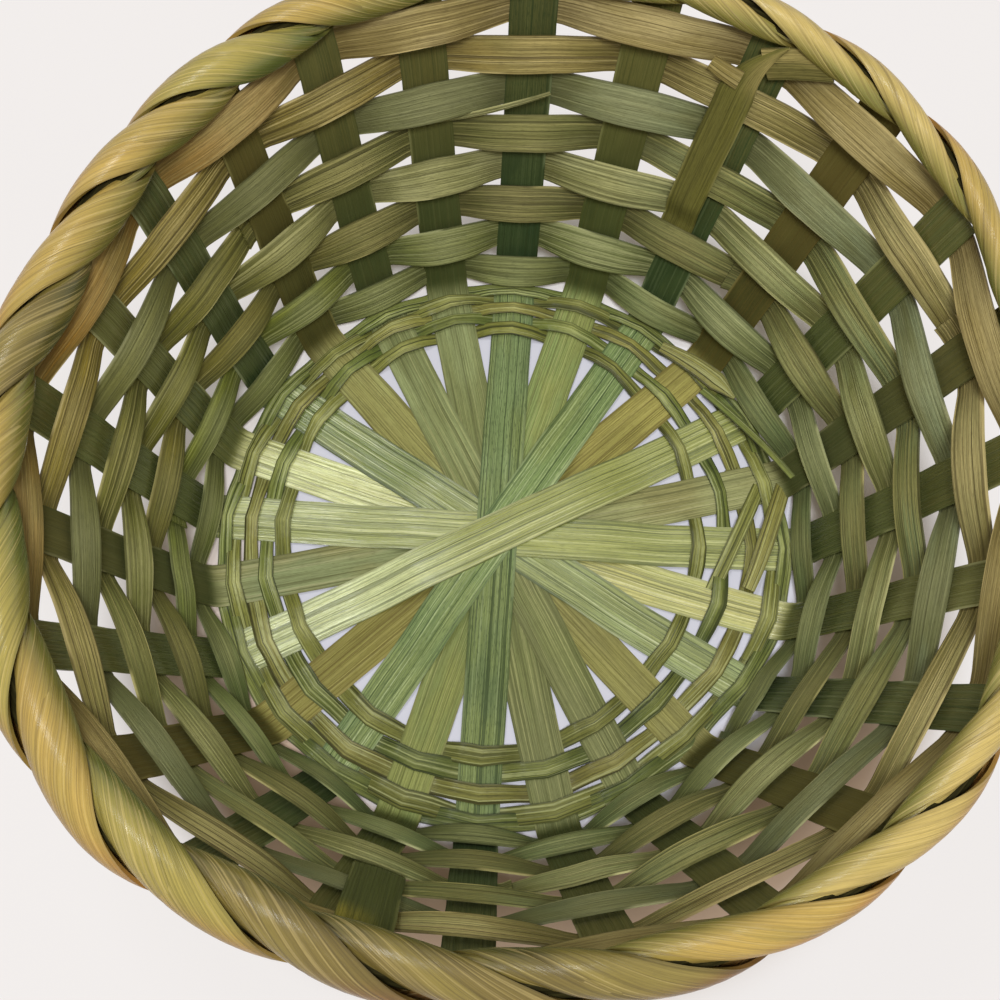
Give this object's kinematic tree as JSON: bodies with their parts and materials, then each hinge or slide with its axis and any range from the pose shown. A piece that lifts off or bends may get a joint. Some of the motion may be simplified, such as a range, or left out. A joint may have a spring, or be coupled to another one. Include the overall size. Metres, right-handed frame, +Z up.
{
  "type": "woven basket",
  "caption": "Round open basket woven from flat split-bamboo strips: base strips cross and rise as stakes, wall rows weave round them, and a twisted rope border closes the flared mouth.",
  "frame": {"origin": "centre of the base on the plane that the basket rests on", "axes": "+Z up through the open mouth, +Y to the side that is at the top of the picture, +X to its right"},
  "size_m": [0.2094, 0.2094, 0.0926],
  "materials": {
    "stake_green": "satin split bamboo, green to yellow-green",
    "weaver_olive": "satin split bamboo, olive to tan",
    "binding_olive": "satin split bamboo, olive",
    "border_straw": "satin rolled bamboo, straw yellow"
  },
  "bodies": {
    "root": {"stake_strip_01": "stake_green", "stake_strip_02": "stake_green", "stake_strip_03": "stake_green", "stake_strip_04": "stake_green", "stake_strip_05": "stake_green", "stake_strip_06": "stake_green", "stake_strip_07": "stake_green", "stake_strip_08": "stake_green", "stake_strip_09": "stake_green", "stake_strip_10": "stake_green", "stake_strip_11": "stake_green", "stake_strip_12": "stake_green", "wall_row_1": "weaver_olive", "wall_row_2": "weaver_olive", "wall_row_3": "weaver_olive", "wall_row_4": "weaver_olive", "wall_row_5": "weaver_olive", "wall_row_6": "weaver_olive", "wall_row_7": "weaver_olive", "wall_row_8": "weaver_olive", "base_binding_1": "binding_olive", "base_binding_2": "binding_olive", "base_binding_3": "binding_olive", "base_binding_4": "binding_olive", "folded_tail_back": "stake_green", "folded_tail_front": "stake_green", "rim_core": "border_straw", "border_strand_01": "border_straw", "border_strand_02": "border_straw", "border_strand_03": "border_straw", "border_strand_04": "border_straw", "border_strand_05": "border_straw", "border_strand_06": "border_straw", "border_strand_07": "border_straw", "border_strand_08": "border_straw", "border_strand_09": "border_straw", "border_strand_10": "border_straw", "border_strand_11": "border_straw", "border_strand_12": "border_straw", "border_strand_13": "border_straw", "border_strand_14": "border_straw", "border_strand_15": "border_straw", "border_strand_16": "border_straw", "border_strand_17": "border_straw", "border_strand_18": "border_straw", "border_strand_19": "border_straw", "border_strand_20": "border_straw", "border_strand_21": "border_straw", "border_strand_22": "border_straw", "border_strand_23": "border_straw", "border_strand_24": "border_straw"}
  },
  "joints": []
}
